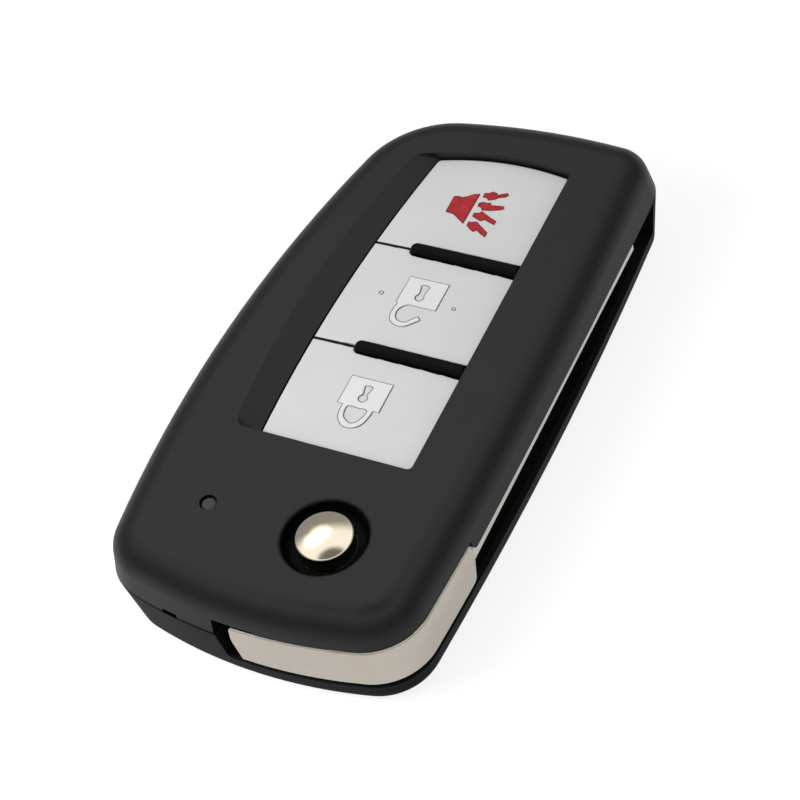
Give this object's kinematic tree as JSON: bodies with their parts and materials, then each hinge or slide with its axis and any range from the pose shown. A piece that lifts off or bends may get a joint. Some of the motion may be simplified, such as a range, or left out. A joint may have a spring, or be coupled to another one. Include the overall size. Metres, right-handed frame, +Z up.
{
  "type": "flip key remote",
  "caption": "Folding car key with remote control: rounded black case, silver push keys, domed release button and a blade that swings out of the side slot.",
  "frame": {"origin": "centre of the closed case's base, lying on its back", "axes": "+Z up through the push keys, +Y along the case towards the key-ring end, +X towards the side slot that stores the blade"},
  "size_m": [0.0384, 0.0718, 0.0147],
  "materials": {
    "case_plastic": "satin moulded",
    "key_paint": "silver-grey paint",
    "silicone": "matt",
    "inner_plastic": "moulded",
    "button_chrome": "polished",
    "head_nickel": "satin nickel",
    "blade_steel": "nickel plated",
    "spring_steel": "bright wire",
    "board_laminate": "solder mask",
    "cell_steel": "nickel plated",
    "contact_metal": "spring bronze",
    "clear_plastic": "smoked clear",
    "chip_black": "moulded epoxy",
    "ceramic": "fired",
    "can_metal": "bright can"
  },
  "bodies": {
    "case": {"front_shell": "case_plastic", "back_shell": "case_plastic", "keypad_mat": "silicone", "board_frame": "inner_plastic", "circuit_board": "board_laminate", "coin_cell": "cell_steel", "negative_contact": "contact_metal", "positive_contact": "contact_metal", "indicator_led": "ceramic", "light_pipe": "clear_plastic", "transponder": "chip_black", "microcontroller": "chip_black", "radio_chip": "chip_black", "resonator": "can_metal", "crystal": "can_metal", "capacitors": "ceramic", "lock_switch": "chip_black", "unlock_switch": "chip_black", "panic_switch": "chip_black", "torsion_spring": "spring_steel"},
    "folding_key": {"flip_head": "head_nickel", "key_blade": "blade_steel", "blade_roll_pin": "spring_steel"},
    "release": {"release_button": "button_chrome", "release_plunger": "inner_plastic"},
    "lock_key": {"lock_button": "key_paint", "lock_switch_stem": "inner_plastic"},
    "unlock_key": {"unlock_button": "key_paint", "unlock_switch_stem": "inner_plastic"},
    "panic_key": {"panic_button": "key_paint", "panic_switch_stem": "inner_plastic"}
  },
  "joints": [
    {"name": "key_fold", "type": "hinge", "parent": "case", "child": "folding_key", "pos_m": [0.0079, -0.02465, 0.0069], "axis": [0, 0, -1], "range_deg": [0, 180]},
    {"name": "release_press", "type": "slide", "parent": "case", "child": "release", "axis": [0, 0, -1], "range_m": [0, 0.0014], "stiffness_N_per_m": 1500, "springref_m": -0.0006, "deforming": ["torsion_spring"]},
    {"name": "lock_press", "type": "slide", "parent": "case", "child": "lock_key", "axis": [0, 0, -1], "range_m": [0, 0.0003], "stiffness_N_per_m": 3000, "springref_m": -0.0001},
    {"name": "unlock_press", "type": "slide", "parent": "case", "child": "unlock_key", "axis": [0, 0, -1], "range_m": [0, 0.0003], "stiffness_N_per_m": 3000, "springref_m": -0.0001},
    {"name": "panic_press", "type": "slide", "parent": "case", "child": "panic_key", "axis": [0, 0, -1], "range_m": [0, 0.0003], "stiffness_N_per_m": 3000, "springref_m": -0.0001}
  ]
}
